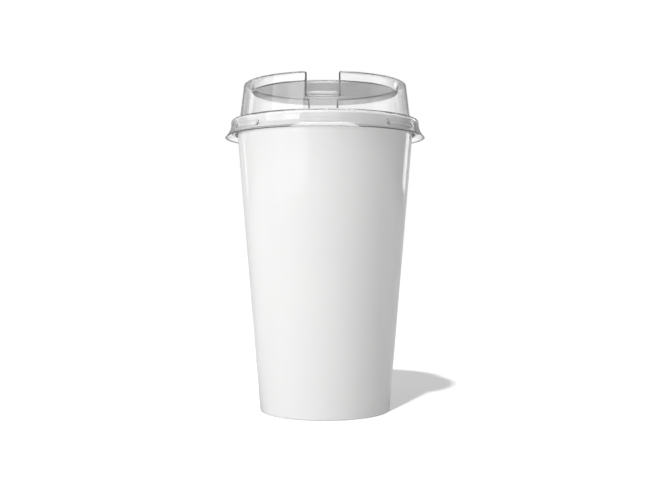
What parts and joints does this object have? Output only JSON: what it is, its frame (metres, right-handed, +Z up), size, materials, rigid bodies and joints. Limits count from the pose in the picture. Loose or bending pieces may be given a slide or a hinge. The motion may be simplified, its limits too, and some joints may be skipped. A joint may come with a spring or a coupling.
{
  "type": "plastic cup with lid",
  "caption": "Tall tapered white plastic drinks cup with a clear press-on lid that lifts off, with a notched raised ring round a sunk panel.",
  "frame": {"origin": "centre of the underside of the cup's foot ring, on the surface that it stands on", "axes": "+Z up along the cup's axis, -Y towards the front notch of the lid, +X to the right seen from the front"},
  "size_m": [0.098, 0.098, 0.1596],
  "materials": {
    "white_plastic": "smooth glossy white moulding",
    "clear_plastic": "clear glossy sheet moulding"
  },
  "bodies": {
    "cup": {"cup": "white_plastic"},
    "lid": {"lid": "clear_plastic"}
  },
  "joints": [
    {"name": "lid_lift", "type": "slide", "parent": "cup", "child": "lid", "axis": [0, 0, 1], "range_m": [0, 0.06]}
  ]
}
